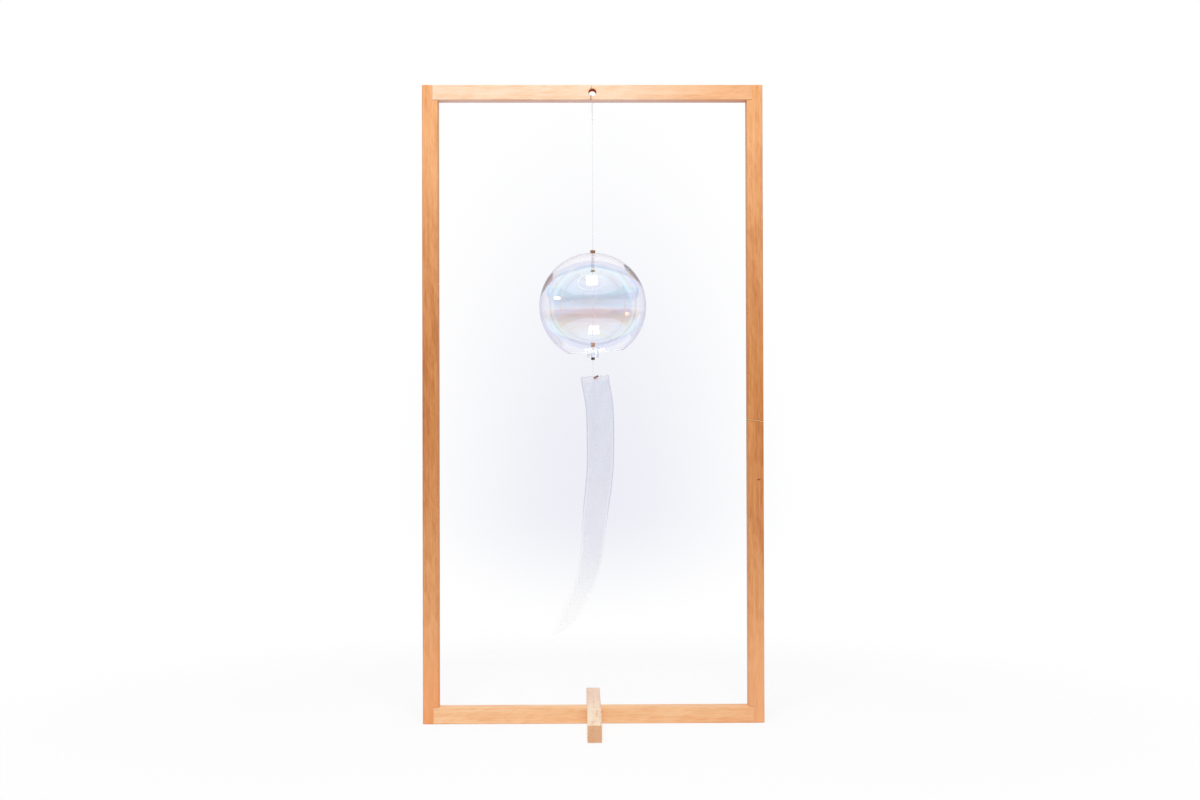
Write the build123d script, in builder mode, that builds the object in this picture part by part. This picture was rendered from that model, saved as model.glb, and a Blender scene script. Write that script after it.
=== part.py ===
from build123d import *
from math import cos, pi, radians, sin, sqrt
import os

os.makedirs("parts", exist_ok=True)

# Furin wind bell: a clear glass globe hung on nylon line in a tall wooden frame, with a
# glass clapper at its mouth and a strip of sheer cloth below that catches the wind.
# Millimetres. +Z is up, +X is to the right and the front of the frame faces -Y.
# The origin lies on the table, under the middle of the frame.

# Wooden frame
frame_width = 267.0
frame_height = 500.0
frame_depth = 12.0
stile_width = 12.5
top_rail_height = 12.0
bottom_rail_height = 13.0
rebate_depth = 4.3
glue_gap = 0.05
edge_ease = 0.5
rail_hole_diameter = 6.0
hole_ease = 0.5

# Foot, halved into the bottom rail
foot_length = 168.0
foot_width = 11.0
foot_height = 13.5
lap_height = 6.5

# Nylon line and its loop round the top rail
line_diameter = 0.5
line_clearance = 0.15
loop_drop = 14.0
loop_front_shift = 1.2
loop_back_shift = 0.4
loop_strand_spacing = 0.95
edge_bend_radius = 1.5
lip_bend_radius = 1.0
rail_knot_diameter = 1.7
rail_knot_height = 2.4
rail_knot_turns = 3
small_knot_diameter = 1.3
small_knot_height = 1.4
small_knot_turns = 2
knot_groove = 0.12

# Glass globe
globe_diameter = 84.0
glass_wall = 1.3
mouth_diameter = 44.0
mouth_tilt = 4.0
rim_ease = 0.3
globe_drop = 119.4
line_hole_diameter = 1.6

# Metal beads and the clear tube that stop the line
bead_rim = 0.3
bore_clearance = 0.05
seat_gap = 0.05
running_gap = 0.3
top_bead_diameter = 4.1
top_bead_height = 1.8
stop_tube_diameter = 2.8
stop_tube_bore = 1.2
stop_tube_length = 12.0
stop_bead_diameter = 3.4
stop_bead_height = 1.2

# Glass clapper between two beads
clapper_drop = 62.4
clapper_diameter = 9.4
clapper_end_diameter = 8.6
clapper_height = 7.8
clapper_bore = 1.6
clapper_edge = 0.6
upper_bead_diameter = 3.1
upper_bead_height = 3.9
lower_bead_diameter = 2.9
lower_bead_height = 2.0

# Cloth strip, its knot and the crimp that holds it
ribbon_drop = 79.6
ribbon_head = 1.1
ribbon_width = 22.0
ribbon_length = 209.0
cloth_thickness = 0.4
ribbon_shift = 2.4
lean_at_top = 4.8
lean_at_middle = -6.0
lean_at_end = -29.0
forward_curl_angle = 20.0
end_twist_angle = 57.0
end_cut_angle = 44.0
ribbon_sections = 10
crimp_length = 4.0
crimp_diameter = 1.6
crimp_tilt = 31.0
crimp_depth = 1.1

# Heights and places that follow from the sizes above
half_width = frame_width / 2
half_depth = frame_depth / 2
line_radius = line_diameter / 2
line_bore = line_diameter + 2 * bore_clearance
rail_underside = frame_height - top_rail_height
rail_hole_middle = frame_height - top_rail_height / 2
rail_length = frame_width - 2 * (stile_width - rebate_depth + glue_gap)
line_offset = line_radius + line_clearance
rail_knot_middle = rail_underside - loop_drop
globe_radius = globe_diameter / 2
globe_inside = globe_radius - glass_wall
globe_top = rail_underside - globe_drop
globe_middle = globe_top - globe_radius
stop_tube_top = globe_top - glass_wall - running_gap
stop_bead_top = stop_tube_top - stop_tube_length - seat_gap
clapper_knot_middle = stop_bead_top - stop_bead_height - running_gap - small_knot_height / 2
clapper_middle = clapper_knot_middle - clapper_drop
clapper_top = clapper_middle + clapper_height / 2
clapper_bottom = clapper_middle - clapper_height / 2
ribbon_knot_middle = clapper_knot_middle - ribbon_drop
ribbon_top = ribbon_knot_middle - ribbon_head


def finish(sub_part, name):
    """Label a finished piece and write its file."""
    sub_part.part.label = name
    export_step(sub_part.part, f"parts/{name}.step")


# Stiles: the lip outside each rail's end runs to the frame's corners
def make_stile(side):
    with BuildPart() as stile:
        with Locations((side * (half_width - stile_width / 2), 0, frame_height / 2)):
            Box(stile_width, frame_depth, frame_height)
        chamfer(stile.edges(), edge_ease)
        rebate_middle = side * (half_width - stile_width + rebate_depth / 2)
        top_rebate = top_rail_height + glue_gap
        bottom_rebate = bottom_rail_height + glue_gap
        with Locations((rebate_middle, 0, frame_height - top_rebate / 2)):
            Box(rebate_depth, frame_depth, top_rebate, mode=Mode.SUBTRACT)
        with Locations((rebate_middle, 0, bottom_rebate / 2)):
            Box(rebate_depth, frame_depth, bottom_rebate, mode=Mode.SUBTRACT)
    return stile


for side, name in ((-1, "left_stile"), (1, "right_stile")):
    finish(make_stile(side), name)

# Top rail: its ends lie in the stiles' rebates and a hole for the line runs front to back
with BuildPart() as top_rail:
    with Locations((0, 0, rail_hole_middle)):
        Box(rail_length, frame_depth, top_rail_height)
    chamfer(top_rail.edges().filter_by(Axis.X), edge_ease)
    with BuildSketch(Plane.XZ):
        with Locations((0, rail_hole_middle)):
            Circle(rail_hole_diameter / 2)
    extrude(amount=half_depth, both=True, mode=Mode.SUBTRACT)
    chamfer(top_rail.edges().filter_by(GeomType.CIRCLE), hole_ease)
finish(top_rail, "top_rail")

# Bottom rail: notched from above for the foot
with BuildPart() as bottom_rail:
    with Locations((0, 0, bottom_rail_height / 2)):
        Box(rail_length, frame_depth, bottom_rail_height)
    chamfer(bottom_rail.edges().filter_by(Axis.X), edge_ease)
    notch_height = bottom_rail_height - lap_height
    with Locations((0, 0, lap_height + notch_height / 2)):
        Box(foot_width + 2 * glue_gap, frame_depth, notch_height, mode=Mode.SUBTRACT)
finish(bottom_rail, "bottom_rail")

# Foot: notched from below, so that it drops over the bottom rail and both stand on the table
with BuildPart() as foot:
    with Locations((0, 0, foot_height / 2)):
        Box(foot_width, foot_length, foot_height)
    chamfer(foot.edges(), edge_ease)
    foot_notch = lap_height + glue_gap
    with Locations((0, 0, foot_notch / 2)):
        Box(foot_width, frame_depth + 2 * glue_gap, foot_notch, mode=Mode.SUBTRACT)
finish(foot, "foot")


# A knot pulled tight: a barrel of turns of line, with a groove between each two turns
def make_knot(diameter, height, turns, middle):
    turn_height = height / turns
    waist = diameter / 2 - knot_groove
    bottom = middle - height / 2
    top = middle + height / 2
    with BuildPart() as knot:
        with BuildSketch(Plane.XZ):
            with BuildLine():
                Line((0, bottom), (waist, bottom))
                for turn in range(turns):
                    low = bottom + turn * turn_height
                    high = low + turn_height
                    ThreePointArc((waist, low), (diameter / 2, (low + high) / 2), (waist, high))
                Line((waist, top), (0, top))
                Line((0, top), (0, bottom))
            make_face()
        revolve(axis=Axis.Z)
    return knot


# A taut length of line between two heights
def make_taut_line(bottom, top):
    with BuildPart() as taut_line:
        with BuildSketch(Plane.XY.offset(bottom)):
            Circle(line_radius)
        extrude(amount=top - bottom)
    return taut_line


# A pressed metal bead with rounded rims and a bore that grips the line
def make_bead(diameter, height, top):
    wall = (diameter - line_bore) / 2
    with BuildPart() as bead:
        with BuildSketch(Plane.XZ):
            with Locations((line_bore / 2 + wall / 2, top - height / 2)):
                RectangleRounded(wall, height, bead_rim)
        revolve(axis=Axis.Z)
    return bead


# Loop of line: up the rail's front, through the hole, down its back and in to the knot
strand_y = half_depth + line_offset
loop_end = rail_knot_middle + rail_knot_height / 2 + running_gap + line_clearance
hole_radius = rail_hole_diameter / 2
front_floor = rail_hole_middle - sqrt(hole_radius**2 - loop_front_shift**2) + line_offset
back_floor = rail_hole_middle - sqrt(hole_radius**2 - loop_back_shift**2) + line_offset
loop_points = [
    (0, -loop_strand_spacing / 2, loop_end),
    (-loop_front_shift, -strand_y, rail_underside),
    (-loop_front_shift, -strand_y, front_floor),
    (loop_back_shift, strand_y, back_floor),
    (loop_back_shift, strand_y, rail_underside),
    (0, loop_strand_spacing / 2, loop_end),
]
loop_radii = [edge_bend_radius, lip_bend_radius, lip_bend_radius, edge_bend_radius]
with BuildPart() as rail_loop:
    with BuildLine() as loop_route:
        FilletPolyline(*loop_points, radius=loop_radii)
    with BuildSketch(Plane(origin=loop_route.line @ 0, z_dir=loop_route.line % 0)):
        Circle(line_radius)
    sweep()
finish(rail_loop, "rail_loop")
loop_length = loop_route.wire().length
loop_section = pi * line_radius**2
print("rail loop radii", loop_radii, "length", round(loop_length, 2))
print("volume over section times length", round(rail_loop.part.volume / loop_section / loop_length, 4))

# Knot that gathers the loop, and the line from it down into the globe
rail_knot = make_knot(rail_knot_diameter, rail_knot_height, rail_knot_turns, rail_knot_middle)
finish(rail_knot, "rail_knot")
hanging_line_top = rail_knot_middle - rail_knot_height / 2 - running_gap
hanging_line = make_taut_line(stop_bead_top - stop_bead_height, hanging_line_top)
finish(hanging_line, "hanging_line")
print("hanging line length", round(hanging_line_top - stop_bead_top + stop_bead_height, 2))

# Beads and tube that hold the globe: one bead above it, a tube on a second bead inside
top_bead = make_bead(top_bead_diameter, top_bead_height, globe_top + running_gap + top_bead_height)
finish(top_bead, "top_bead")
with BuildPart() as stop_tube:
    with BuildSketch(Plane.XY.offset(stop_tube_top - stop_tube_length)):
        Circle(stop_tube_diameter / 2)
        Circle(stop_tube_bore / 2, mode=Mode.SUBTRACT)
    extrude(amount=stop_tube_length)
finish(stop_tube, "stop_tube")
stop_bead = make_bead(stop_bead_diameter, stop_bead_height, stop_bead_top)
finish(stop_bead, "stop_bead")

# Globe: a thin blown shell with a small hole for the line on top. The mouth is cut off flat
# and ground, on a plane a few degrees off level, as it hangs in its place.
mouth_axis = Vector(-sin(radians(mouth_tilt)), 0, cos(radians(mouth_tilt)))
mouth_depth = sqrt(globe_radius**2 - (mouth_diameter / 2) ** 2)
globe_centre = Vector(0, 0, globe_middle)
mouth_plane = Plane(origin=globe_centre - mouth_axis * mouth_depth, z_dir=mouth_axis)
with BuildPart() as glass_bell:
    with Locations(globe_centre):
        Sphere(globe_radius)
        Sphere(globe_inside, mode=Mode.SUBTRACT)
    split(bisect_by=mouth_plane, keep=Keep.TOP)
    rim_edges = glass_bell.edges().filter_by(GeomType.CIRCLE).sort_by(Axis.Z)[:2]
    fillet(rim_edges, rim_ease)
    with Locations((0, 0, globe_top)):
        Hole(line_hole_diameter / 2, depth=2 * glass_wall)
finish(glass_bell, "glass_bell")

# Clapper line: knotted under the stop bead, through the clapper, down to the cloth's knot
clapper_knot = make_knot(small_knot_diameter, small_knot_height, small_knot_turns, clapper_knot_middle)
finish(clapper_knot, "clapper_knot")
inner_line_top = clapper_knot_middle - small_knot_height / 2 - running_gap
inner_line_bottom = ribbon_knot_middle + small_knot_height / 2 + running_gap
inner_line = make_taut_line(inner_line_bottom, inner_line_top)
finish(inner_line, "inner_line")
print("inner line length", round(inner_line_top - inner_line_bottom, 2))

# Clapper: a thick glass barrel with a narrow bore, trapped between two beads
upper_bead_top = clapper_top + seat_gap + upper_bead_height
upper_bead = make_bead(upper_bead_diameter, upper_bead_height, upper_bead_top)
finish(upper_bead, "upper_clapper_bead")
with BuildPart() as clapper:
    with BuildSketch(Plane.XZ) as barrel_sketch:
        with BuildLine():
            Line((clapper_bore / 2, clapper_bottom), (clapper_end_diameter / 2, clapper_bottom))
            ThreePointArc(
                (clapper_end_diameter / 2, clapper_bottom),
                (clapper_diameter / 2, clapper_middle),
                (clapper_end_diameter / 2, clapper_top),
            )
            Line((clapper_end_diameter / 2, clapper_top), (clapper_bore / 2, clapper_top))
            Line((clapper_bore / 2, clapper_top), (clapper_bore / 2, clapper_bottom))
        make_face()
        fillet(barrel_sketch.vertices().group_by(Axis.X)[-1], clapper_edge)
    revolve(axis=Axis.Z)
finish(clapper, "clapper")
lower_bead = make_bead(lower_bead_diameter, lower_bead_height, clapper_bottom - seat_gap)
finish(lower_bead, "lower_clapper_bead")

# Knot above the cloth, on which it swings and turns
ribbon_knot = make_knot(small_knot_diameter, small_knot_height, small_knot_turns, ribbon_knot_middle)
finish(ribbon_knot, "ribbon_knot")


# Cloth strip: it leans as it falls, curls forward and twists towards its slanted end
def ribbon_lean(share):
    """Sideways lean in degrees at a share of the length: a parabola through three leans."""
    bend = 2 * (lean_at_top + lean_at_end - 2 * lean_at_middle)
    slope = lean_at_end - lean_at_top - bend
    return lean_at_top + slope * share + bend * share**2


def ribbon_course(share):
    """Directions along and across the cloth at a share of the length."""
    lean = radians(ribbon_lean(share))
    curl = radians(forward_curl_angle) * share**2
    along = Vector(sin(lean) * cos(curl), -sin(curl), -cos(lean) * cos(curl))
    across = Vector(cos(lean), 0, sin(lean)).rotate(Axis((0, 0, 0), along), end_twist_angle * share)
    return along, across


ribbon_step = ribbon_length / ribbon_sections
cut = radians(end_cut_angle)
place = Vector(ribbon_shift, 0, ribbon_top)
with BuildPart() as tanzaku:
    top_width = ribbon_width / cos(radians(lean_at_top))
    with BuildSketch(Plane(origin=place, x_dir=(1, 0, 0), z_dir=(0, 0, -1))):
        Rectangle(top_width, cloth_thickness)
    for section in range(1, ribbon_sections + 1):
        share = section / ribbon_sections
        step_along, _ = ribbon_course(share - 0.5 / ribbon_sections)
        place = place + step_along * ribbon_step
        along, across = ribbon_course(share)
        with BuildSketch(Plane(origin=place, x_dir=across, z_dir=along)):
            Rectangle(ribbon_width, cloth_thickness)
    loft()
    tip = place - across * (ribbon_width / 2)
    split(bisect_by=Plane(origin=tip, z_dir=along * cos(cut) + across * sin(cut)), keep=Keep.BOTTOM)
finish(tanzaku, "tanzaku")

# Crimp: a short metal tube closed on the line's end, lying aslant against the cloth's front
crimp_y = -(cloth_thickness / 2 + seat_gap + crimp_diameter / 2)
crimp_middle = Vector(ribbon_shift, crimp_y, ribbon_top - crimp_depth)
crimp_axis = Vector(cos(radians(crimp_tilt)), 0, sin(radians(crimp_tilt)))
with BuildPart() as ribbon_crimp:
    with BuildSketch(Plane(origin=crimp_middle, z_dir=crimp_axis)):
        Circle(crimp_diameter / 2)
        Circle(line_bore / 2, mode=Mode.SUBTRACT)
    extrude(amount=crimp_length / 2, both=True)
finish(ribbon_crimp, "ribbon_crimp")
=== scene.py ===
from math import acos, asin, atan2, cos, pi, radians, sin, sqrt, tan, tau

import bpy
from mathutils import Matrix, Vector, noise


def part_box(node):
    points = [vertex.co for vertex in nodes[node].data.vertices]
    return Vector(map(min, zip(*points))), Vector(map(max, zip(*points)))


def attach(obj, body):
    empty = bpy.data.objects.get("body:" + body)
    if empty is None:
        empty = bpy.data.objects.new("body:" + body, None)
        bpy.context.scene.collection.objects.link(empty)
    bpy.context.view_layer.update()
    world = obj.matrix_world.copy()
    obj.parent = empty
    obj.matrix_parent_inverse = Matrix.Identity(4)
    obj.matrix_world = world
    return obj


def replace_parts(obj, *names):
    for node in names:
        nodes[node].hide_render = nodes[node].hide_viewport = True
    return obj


# Furin wind bell: the looks of its wood, glass, nylon line, beads and cloth.
# Metres. +Z is up, +X is to the right and the front of the frame faces -Y.

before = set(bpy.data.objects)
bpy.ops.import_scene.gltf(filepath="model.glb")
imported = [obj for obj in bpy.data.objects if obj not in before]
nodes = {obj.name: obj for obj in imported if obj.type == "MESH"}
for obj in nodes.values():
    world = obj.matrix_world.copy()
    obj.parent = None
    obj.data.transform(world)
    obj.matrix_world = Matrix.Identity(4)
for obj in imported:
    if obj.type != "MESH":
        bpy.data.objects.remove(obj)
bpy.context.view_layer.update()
mm = 0.001
white = (1.0, 1.0, 1.0, 1.0)

# Camera
camera_place = Vector((-10.25, -1314.2, 241.5)) * mm
camera_pitch = radians(0.497)
camera_yaw = radians(0.684)
camera_roll = radians(-0.148)
camera_lens = 50.15
camera_sensor = 36.0

# Key light, and the even light from all round
key_from_bell = Vector((-0.04, -0.72, 0.95))
key_width = 0.43
key_height = 0.45
key_power = 7.2
ambient = (0.66, 0.66, 0.675, 1.0)

# Floor: its sides, how far the eye sees it as white, and where it runs out into the backdrop
floor_left = -2.0
floor_right = 2.0
floor_front = -2.0
floor_back = 3.0
floor_glow = 0.8
floor_fades = (0.26, 0.6)

# Lavender patch of the backdrop, in parts of a unit direction
patch_aside = 0.009
patch_up = -0.051
patch_half_width = 0.125
patch_rise = 0.25
patch_drop = 0.075
patch_tone = (237, 238, 246)

# Bands of light and dark that glass mirrors
band_bow = 0.08
band_slope = -0.05
band_level = 0.44
band_waver = 0.12
lines_end = (0.62, 0.7)
blue_starts = (0.2, 0.8)
blue_ends = (0.2, 0.26)

# Pale field that glass mirrors past an arch, and strips overhead by their middle, half width and strength
field_starts = (0.0, 0.2)
field_heights = (0.1, 0.6)
arch_heights = (0.1, 0.45)
arch_pull = -2.4
strip_heights = (0.4, 0.6)
strips_overhead = ((0.06, 0.11, 1.0), (0.28, 0.14, 0.5))

# Dark corners of that field, by how steeply they rise aside, and the bright patch on the left
corner_lopsided = 0.2
corner_middle = 0.85
corner_low = (0.45, 0.6)
corner_high = (1.25, 1.42)
corner_starts = (0.62, 0.74)
corner_fades = (0.75, 0.95)
corner_ragged = 0.3
corner_pointed = -0.8
bright_patch = (-0.087, 0.215)
bright_patch_radii = (0.15, 0.042)
bright_patch_light = (5.0, 5.8, 7.0, 1.0)

# Glass globe
glass_wall = 1.3 * mm
glass_ior = 1.5
mouth_diameter = 44.0 * mm
mouth_tilt = radians(4.0)
line_hole_diameter = 1.6 * mm
rim_ease = 0.3 * mm
blown_ripple = 0.03 * mm
ripple_length = 22.0 * mm
ripple_growth = 2.5

# Film of lustre: heights from the globe's middle in radii, and thicknesses in nanometres
lustre_film = [
    (-0.95, 128.0),
    (-0.6, 130.0),
    (-0.45, 152.0),
    (-0.3, 167.0),
    (-0.2, 166.0),
    (-0.13, 164.0),
    (-0.1, 154.0),
    (-0.07, 130.0),
    (-0.04, 112.0),
    (0.02, 105.0),
    (0.14, 102.0),
    (0.22, 102.0),
    (0.32, 110.0),
    (0.45, 112.0),
    (0.6, 106.0),
    (0.72, 101.0),
    (0.95, 108.0),
]
thinnest_film = 90.0
thickest_film = 240.0
film_swirl = 0.16
thicker_side = 75.0
side_starts = (0.6, 0.74)
side_heights = (0.28, 0.42)
tinted_film = (145.0, 165.0)
tint_heights = (-0.29, -0.22)
film_tint = (0.935, 0.865, 0.81, 1.0)
film_ior = 2.2

# Nylon line and knots, and the share of the light that they stop
line_diameter = 0.5 * mm
line_cover = 0.24
knot_cover = 0.12
# Extra share that the line stops where it lies on the rail: painted shade
painted_shade_cover = 0.34

# Wood
wood_gloss = 0.3
fleck_share = 0.3
arris_reach = (0.44, 0.5)
arris_share = 0.45
end_grain_share = 0.75
# Painted light: the stiles' paler lower ends, where light bounces up off the floor, by share and reach
floor_light_share = 0.5
left_floor_light_reach = 100.0 * mm
right_floor_light_reach = 120.0 * mm

# Pale line with dark borders and pin knot in the right stile
pale_line_height = 237.7 * mm
pale_line_slope = 0.17
pale_line_wave = 0.25 * mm
pale_line_wave_length = 9.6 * mm
pale_line_half = (0.18 * mm, 0.46 * mm)
pale_line_share = 0.9
border_half = (0.4 * mm, 1.3 * mm)
border_share = 0.7
pin_knot = (129.6 * mm, 190.3 * mm)
pin_knot_radii = (1.3 * mm, 0.7 * mm)
pin_knot_share = 0.85

# Top rail: painted shade on its underside, its hole, bare wood with painted shade to just past the edge,
# and the dark spot over the hole
underside_shade_tint = (0.81, 0.76, 0.91, 1.0)
rail_hole_diameter = 6.0 * mm
bare_reach = 1.06
bare_and_shade_share = 0.9
dark_spot_aside = -0.8 * mm
dark_spot_below_top = 1.9 * mm
dark_spot_radii = (0.5 * mm, 1.1 * mm)
dark_spot_share = 0.45

# Cloth strip
ribbon_width = 22.0 * mm
ribbon_length = 209.0 * mm
ribbon_shift = 2.4 * mm
lean_at_top = 4.8
lean_at_middle = -6.0
lean_at_end = -29.0
forward_curl = radians(20.0)
end_twist = radians(57.0)
end_cut = radians(44.0)
end_bulge = 5.0 * mm
cloth_thickness = 0.3 * mm
sway_places = [
    (0.0, -1.0 * mm),
    (0.13, 0.95 * mm),
    (0.3, 0.5 * mm),
    (0.53, -1.1 * mm),
    (0.75, 1.7 * mm),
    (0.92, -0.5 * mm),
    (1.0, 0.0),
]

# Small folds of the cloth: puckers under the crimp, a long wave and a hollow across
pucker_depth = 0.7 * mm
pucker_turn = 8.5
pucker_reach = 9.0 * mm
wave_depth = 0.5 * mm
wave_reach = 31.0 * mm
wave_slant = 1.2
wave_builds_over = 30.0 * mm
hollow_depth = 0.6 * mm
hollow_level = 0.4

# Weave and edges of the cloth
warp_spacing = 0.42 * mm
weft_spacing = 0.45 * mm
edge_inset = (0.5 * mm, 0.9 * mm)
thin_row_inset = 1.6 * mm
thin_row_half = (0.4 * mm, 0.8 * mm)
hem_depth = (4.2 * mm, 4.8 * mm)

# Places down the cloth, as shares of its length, between which it changes
thin_row_starts = (0.1, 0.3)
cloth_thins = (0.2, 0.55)
edge_whitens = (0.45, 0.62)
# Painted light whitens the free end between these shares
end_painted_light = (0.66, 0.9)


# Small helpers


def srgb(red, green, blue):
    """A colour given as 0 to 255 screen values, as the linear colour that sockets take."""
    linear = []
    for value in (red, green, blue):
        share = value / 255
        linear.append(share / 12.92 if share <= 0.04045 else ((share + 0.055) / 1.055) ** 2.4)
    return (*linear, 1.0)


def add(tree, kind, inputs=None, **settings):
    """A new node with its settings, and with its inputs set to values or joined to sockets."""
    node = tree.nodes.new(kind)
    for name, value in settings.items():
        setattr(node, name, value)
    for name, value in (inputs or {}).items():
        if isinstance(value, bpy.types.NodeSocket):
            tree.links.new(value, node.inputs[name])
        else:
            node.inputs[name].default_value = value
    return node


def maths(tree, operation, *values):
    """The result of a Math node."""
    node = add(tree, "ShaderNodeMath", dict(enumerate(values)), operation=operation)
    return node.outputs[0]


def fade(tree, value, low, high, start=0.0, end=1.0):
    """value from low to high, smoothly made into start to end and held outside."""
    inputs = {"Value": value, "From Min": low, "From Max": high, "To Min": start, "To Max": end}
    node = add(tree, "ShaderNodeMapRange", inputs, interpolation_type="SMOOTHSTEP")
    return node.outputs["Result"]


def mixed(tree, share, first, second, blend="MIX"):
    """Two colours mixed by a share."""
    node = add(tree, "ShaderNodeMix", data_type="RGBA", blend_type=blend)
    for socket, value in ((node.inputs[0], share), (node.inputs[6], first), (node.inputs[7], second)):
        if isinstance(value, bpy.types.NodeSocket):
            tree.links.new(value, socket)
        else:
            socket.default_value = value
    return node.outputs[2]


def ramp(tree, share, *stops):
    """A colour ramp through (place, colour) stops."""
    node = add(tree, "ShaderNodeValToRGB", {"Fac": share})
    elements = node.color_ramp.elements
    while len(elements) < len(stops):
        elements.new(1.0)
    for element, (place, colour) in zip(elements, stops):
        element.position = place
        element.color = colour
    return node.outputs["Color"]


def stretched_noise(tree, place, scale, detail=3.0, roughness=0.55, distortion=0.0):
    """Noise over a place that has first been scaled along each axis."""
    moved = add(tree, "ShaderNodeVectorMath", {0: place, 1: scale}, operation="MULTIPLY")
    inputs = {
        "Vector": moved.outputs[0],
        "Scale": 1.0,
        "Detail": detail,
        "Roughness": roughness,
        "Distortion": distortion,
    }
    return add(tree, "ShaderNodeTexNoise", inputs).outputs["Fac"]


def round_spot(tree, across, up, middle, radii, soft):
    """1 inside an ellipse across and up a face, and 0 outside it."""
    reach = []
    for value, centre, radius in zip((across, up), middle, radii):
        offset = maths(tree, "DIVIDE", maths(tree, "SUBTRACT", value, centre), radius)
        reach.append(maths(tree, "MULTIPLY", offset, offset))
    distance = maths(tree, "SQRT", maths(tree, "ADD", *reach))
    return fade(tree, distance, 1 - soft, 1 + soft, 1.0, 0.0)


def new_material(name):
    """An empty material and its node tree."""
    material = bpy.data.materials.new(name)
    material.use_nodes = True
    material.node_tree.nodes.clear()
    return material, material.node_tree


def show(tree, surface):
    """Make a shader the material's surface."""
    add(tree, "ShaderNodeOutputMaterial", {"Surface": surface})


def dress(name, material):
    """Give a CAD node its finished material."""
    for slot in nodes[name].material_slots:
        slot.material = material


def new_piece(name, points, faces, body, materials):
    """A smooth mesh piece that rides on a body and takes the finishes it is given."""
    mesh = bpy.data.meshes.new(name)
    mesh.from_pydata(points, [], faces)
    for material in materials:
        mesh.materials.append(material)
    mesh.polygons.foreach_set("use_smooth", [True] * len(mesh.polygons))
    mesh.update()
    piece = bpy.data.objects.new(name, mesh)
    bpy.context.scene.collection.objects.link(piece)
    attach(piece, body)
    return piece


# Camera


def make_camera():
    data = bpy.data.cameras.new("camera")
    data.lens = camera_lens
    data.sensor_width = camera_sensor
    data.sensor_fit = "HORIZONTAL"
    camera = bpy.data.objects.new("camera", data)
    bpy.context.scene.collection.objects.link(camera)
    turn = Matrix.Rotation(-camera_yaw, 4, "Z") @ Matrix.Rotation(pi / 2 + camera_pitch, 4, "X")
    turn = turn @ Matrix.Rotation(camera_roll, 4, "Z")
    camera.matrix_world = Matrix.Translation(camera_place) @ turn
    bpy.context.scene.camera = camera


# Nylon line


def nylon_material(name, cover):
    """Clear line: mostly see-through, a little milky and glossy, with painted shade where it lies on the
    rail: darker and less clear there.
    """
    material, tree = new_material(name)
    place = add(tree, "ShaderNodeTexCoord").outputs["Object"]
    cloud = stretched_noise(tree, place, (900, 900, 260))
    tone = ramp(tree, cloud, (0.3, srgb(196, 198, 206)), (0.7, srgb(228, 229, 234)))
    height = add(tree, "ShaderNodeSeparateXYZ", {0: place}).outputs["Z"]
    rail_low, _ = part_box("top_rail")
    # Painted shade: over the rail the line is darker and stops more light, standing in for its shade on the
    # wood
    painted_shade_on_rail = fade(tree, height, rail_low.z - 0.5 * mm, rail_low.z + 0.2 * mm)
    milky = add(
        tree,
        "ShaderNodeBsdfPrincipled",
        {
            "Base Color": mixed(tree, painted_shade_on_rail, tone, srgb(120, 96, 82)),
            "Roughness": 0.18,
            "IOR": 1.53,
            "Alpha": maths(tree, "MULTIPLY_ADD", painted_shade_on_rail, painted_shade_cover, cover),
        },
    )
    show(tree, milky.outputs["BSDF"])
    return material


def make_cord(name, points, body, material):
    """A line of nylon along one open, smooth spline."""
    curve = bpy.data.curves.new(name, "CURVE")
    curve.dimensions = "3D"
    curve.bevel_depth = line_diameter / 2
    curve.bevel_resolution = 3
    curve.use_fill_caps = True
    curve.resolution_u = 10
    spline = curve.splines.new("NURBS")
    spline.points.add(len(points) - 1)
    for point, place in zip(spline.points, points):
        point.co = (*place, 1.0)
    spline.order_u = 3
    spline.use_endpoint_u = True
    curve.materials.append(material)
    piece = bpy.data.objects.new(name, curve)
    bpy.context.scene.collection.objects.link(piece)
    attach(piece, body)
    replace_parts(piece, name.replace("_cord", ""))
    return piece


def make_taut_cord(node, body, material):
    """A taut vertical line in a CAD line's place."""
    low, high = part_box(node)
    middle = (low + high) / 2
    lead = 6 * line_diameter
    heights = (high.z, high.z - lead, middle.z, low.z + lead, low.z)
    points = [(middle.x, middle.y, height) for height in heights]
    return make_cord(f"{node}_cord", points, body, material), points


def make_knot(node, turns, material):
    """A knot pulled tight: the line wound in close turns, with its ends tucked inside."""
    low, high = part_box(node)
    centre = (low + high) / 2
    height = high.z - low.z
    thick = height / (turns + 1)
    winding = (high.x - low.x) / 2 - thick / 2
    # A little over half, so that the turns press together
    strand_radius = 0.54 * thick
    tucked_share = 1 / 8
    tucked_winding = 0.35
    steps_per_turn = 20
    sides = 8
    steps = turns * steps_per_turn
    points = []
    for step in range(steps + 1):
        share = step / steps
        angle = tau * turns * share
        loose = min(1.0, share / tucked_share, (1 - share) / tucked_share)
        out = Vector((cos(angle), sin(angle), 0))
        rise = Vector((0, 0, (share - 0.5) * (height - thick)))
        core = centre + out * winding * (tucked_winding + (1 - tucked_winding) * loose) + rise
        for side in range(sides):
            around = tau * side / sides
            ring = out * cos(around) + Vector((0, 0, 1)) * sin(around)
            points.append(core + ring * strand_radius)
    faces = []
    for step in range(steps):
        for side in range(sides):
            after = (side + 1) % sides
            first = step * sides
            faces.append((first + side, first + after, first + sides + after, first + sides + side))
    faces.append(tuple(range(sides - 1, -1, -1)))
    faces.append(tuple(range(steps * sides, steps * sides + sides)))
    piece = new_piece(f"{node}_winding", points, faces, node, [material])
    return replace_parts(piece, node)


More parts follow.
